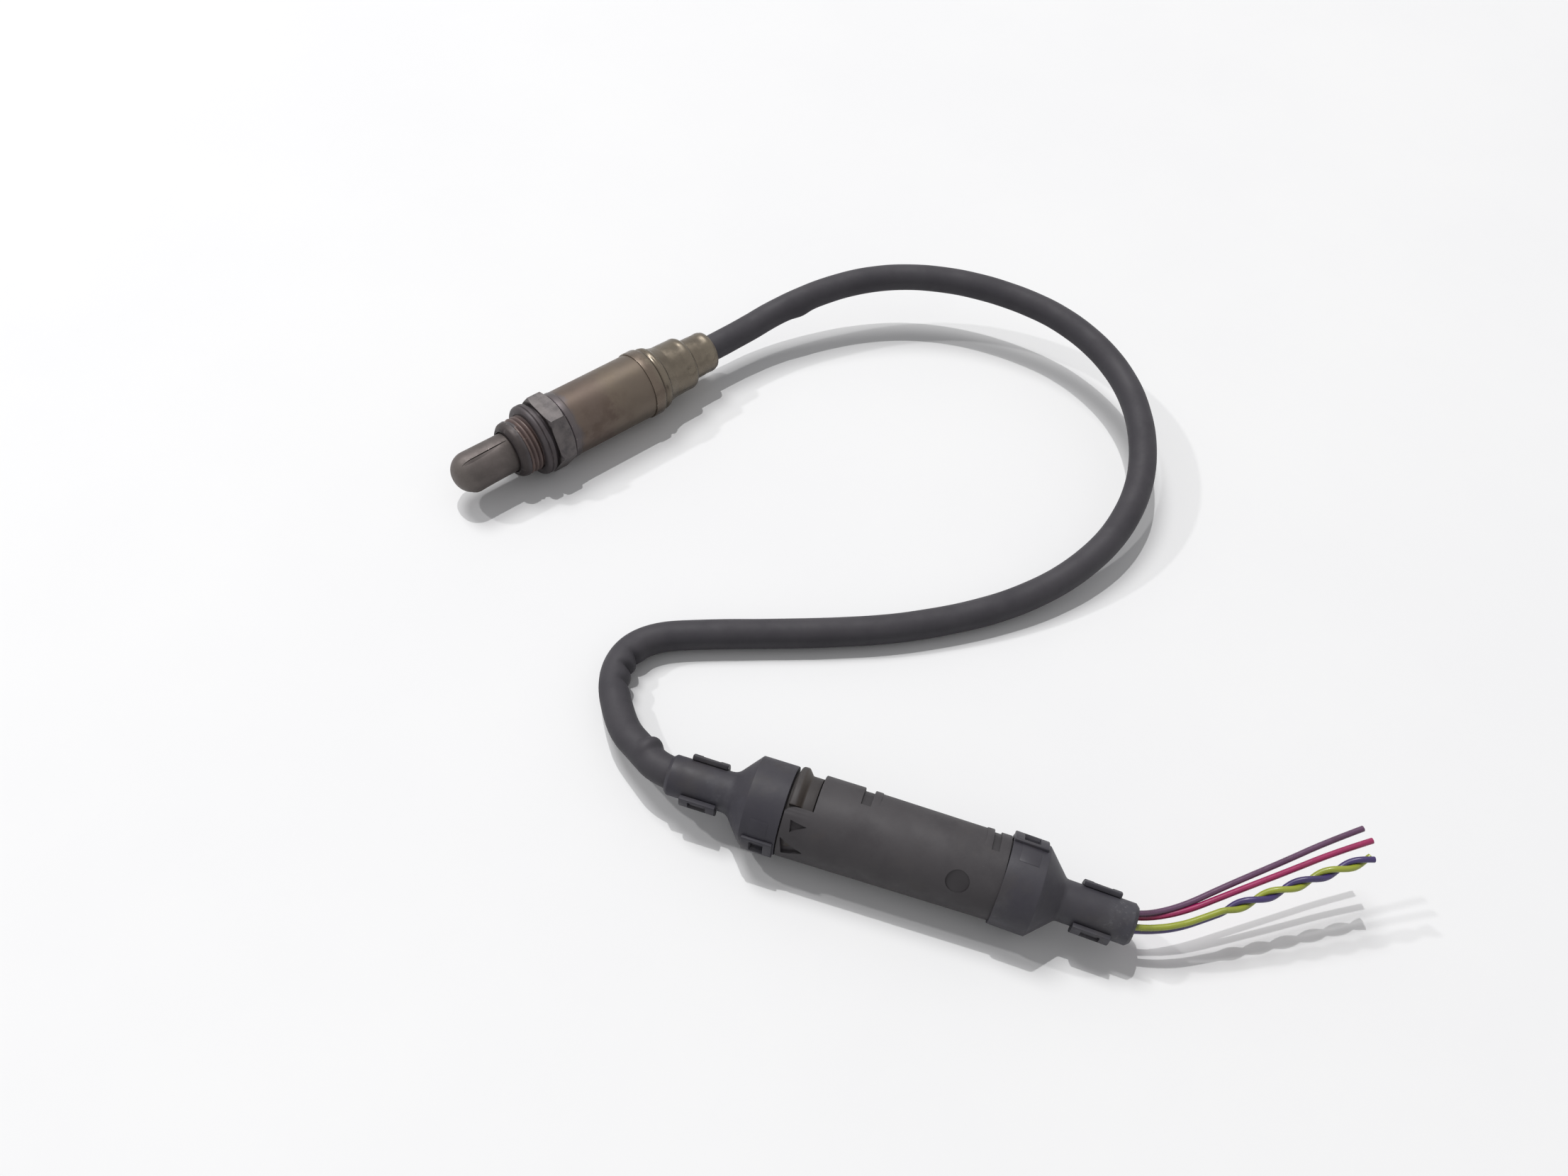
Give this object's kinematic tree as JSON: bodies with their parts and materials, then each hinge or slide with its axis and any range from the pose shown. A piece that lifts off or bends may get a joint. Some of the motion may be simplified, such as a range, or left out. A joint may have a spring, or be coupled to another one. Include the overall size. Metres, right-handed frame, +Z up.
{
  "type": "oxygen sensor",
  "caption": "Heated exhaust oxygen sensor with a threaded hexagonal shell, gasket, louvred tube, stepped sleeve, sheathed lead, in-line round connector and loose wires.",
  "frame": {"origin": "on the surface that the part lies on, under the middle of the sensor's length", "axes": "+X along the sensor towards its tip, +Z up, +Y towards the connector's side"},
  "size_m": [0.2178, 0.265, 0.024],
  "materials": {
    "tube_steel": "satin, heat-browned",
    "shell_steel": "worn, slightly rusty",
    "gasket_steel": "dull, oxidised",
    "sleeve_steel": "satin, bronze heat tint",
    "rear_sleeve_metal": "satin, nickel plated, stained",
    "zirconia": "matte",
    "alumina": "matte",
    "packing_powder": "pressed powder, matte",
    "contact_metal": "satin",
    "lead_insulation": "matte",
    "seal_rubber": "matte",
    "cable_sheath": "matte, wrinkled",
    "connector_plastic": "satin, dusty",
    "plug_plastic": "matte, stained",
    "wire_violet": "glossy",
    "wire_magenta": "glossy",
    "wire_blue": "glossy",
    "wire_green": "glossy"
  },
  "bodies": {
    "root": {"protective_tube": "tube_steel", "inner_tube": "tube_steel", "threaded_shell": "shell_steel", "sealing_gasket": "gasket_steel", "sensing_element": "zirconia", "heater_rod": "alumina", "packing_ring": "packing_powder", "rear_insulator": "alumina", "contact_bushing": "alumina", "disc_spring": "contact_metal", "main_sleeve": "sleeve_steel", "rear_sleeve": "rear_sleeve_metal", "cable_grommet": "seal_rubber", "sheathed_cable": "cable_sheath", "cable_cover_outer": "connector_plastic", "cable_cover_inner": "connector_plastic", "harness_cover_outer": "connector_plastic", "harness_cover_inner": "connector_plastic", "coupling_sleeve": "connector_plastic", "plug_housing": "plug_plastic", "socket_housing": "plug_plastic", "interface_seal": "seal_rubber", "plug_wire_seal": "seal_rubber", "socket_wire_seal": "seal_rubber", "harness_wire_violet": "wire_violet", "harness_wire_magenta": "wire_magenta", "harness_wire_blue": "wire_blue", "harness_wire_green": "wire_green", "contact_terminal_1": "contact_metal", "sensor_lead_1": "lead_insulation", "plug_pin_1": "contact_metal", "plug_lead_1": "lead_insulation", "socket_terminal_1": "contact_metal", "contact_terminal_2": "contact_metal", "sensor_lead_2": "lead_insulation", "plug_pin_2": "contact_metal", "plug_lead_2": "lead_insulation", "socket_terminal_2": "contact_metal", "contact_terminal_3": "contact_metal", "sensor_lead_3": "lead_insulation", "plug_pin_3": "contact_metal", "plug_lead_3": "lead_insulation", "socket_terminal_3": "contact_metal", "contact_terminal_4": "contact_metal", "sensor_lead_4": "lead_insulation", "plug_pin_4": "contact_metal", "plug_lead_4": "lead_insulation", "socket_terminal_4": "contact_metal"}
  },
  "joints": []
}
